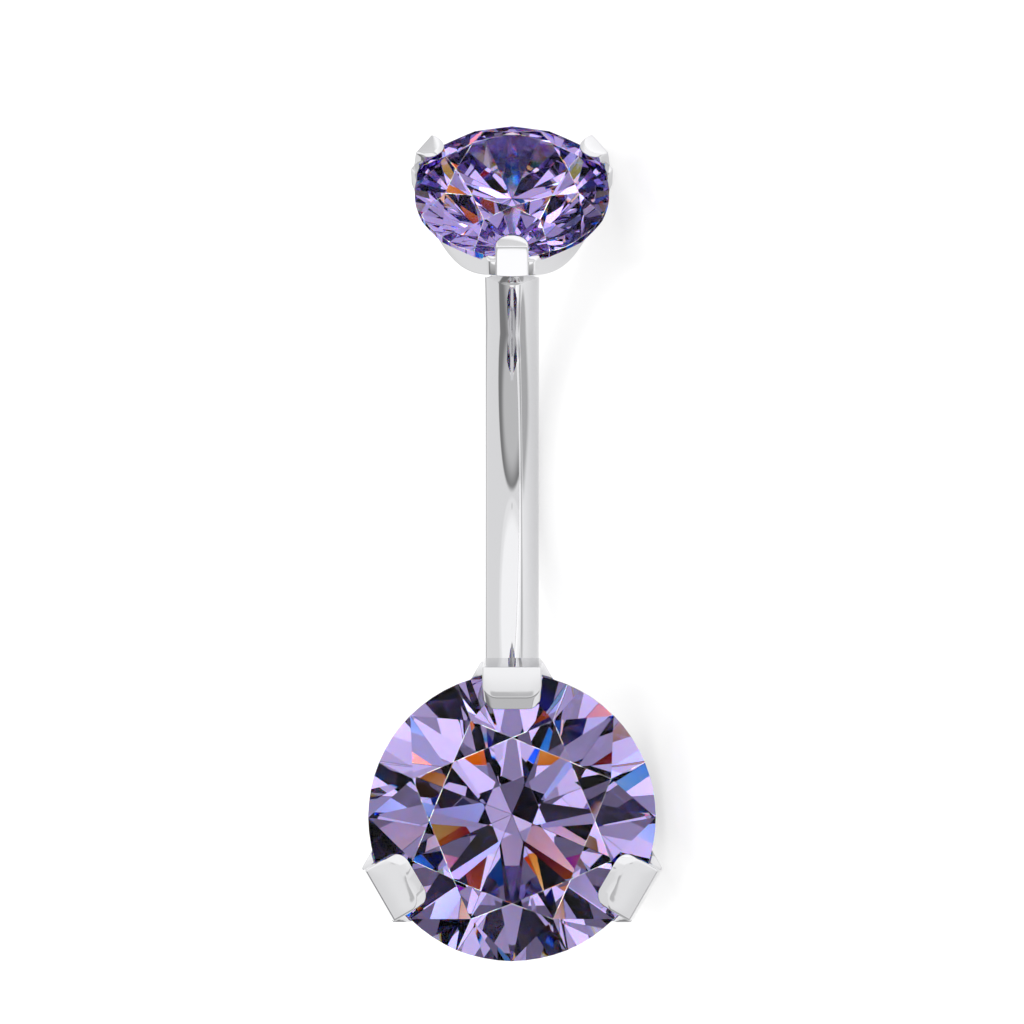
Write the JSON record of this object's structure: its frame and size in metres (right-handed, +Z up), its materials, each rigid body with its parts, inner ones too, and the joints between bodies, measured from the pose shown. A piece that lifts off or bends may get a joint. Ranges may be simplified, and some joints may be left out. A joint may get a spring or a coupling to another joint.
{
  "type": "navel ring",
  "caption": "Curved navel barbell with a large and a small round faceted stone in three-prong settings; the small one unscrews from the bar.",
  "frame": {"origin": "middle of the resting ring's outline, on the surface that it lies on", "axes": "+X along the ring from the large stone to the small one, +Y across it towards the back of the stones, +Z up"},
  "size_m": [0.0238, 0.0088, 0.0081],
  "materials": {
    "titanium": "mirror polished titanium",
    "large_stone": "polished violet cubic zirconia",
    "small_stone": "polished violet cubic zirconia"
  },
  "bodies": {
    "barbell": {"bar_with_setting": "titanium", "large_stone": "large_stone"},
    "threaded_top": {"small_setting": "titanium", "small_stone": "small_stone"}
  },
  "joints": [
    {"name": "top_unscrews", "type": "slide", "parent": "barbell", "child": "threaded_top", "axis": [0.6857, -0.6645, 0.2972], "range_m": [0, 0.0022]}
  ]
}
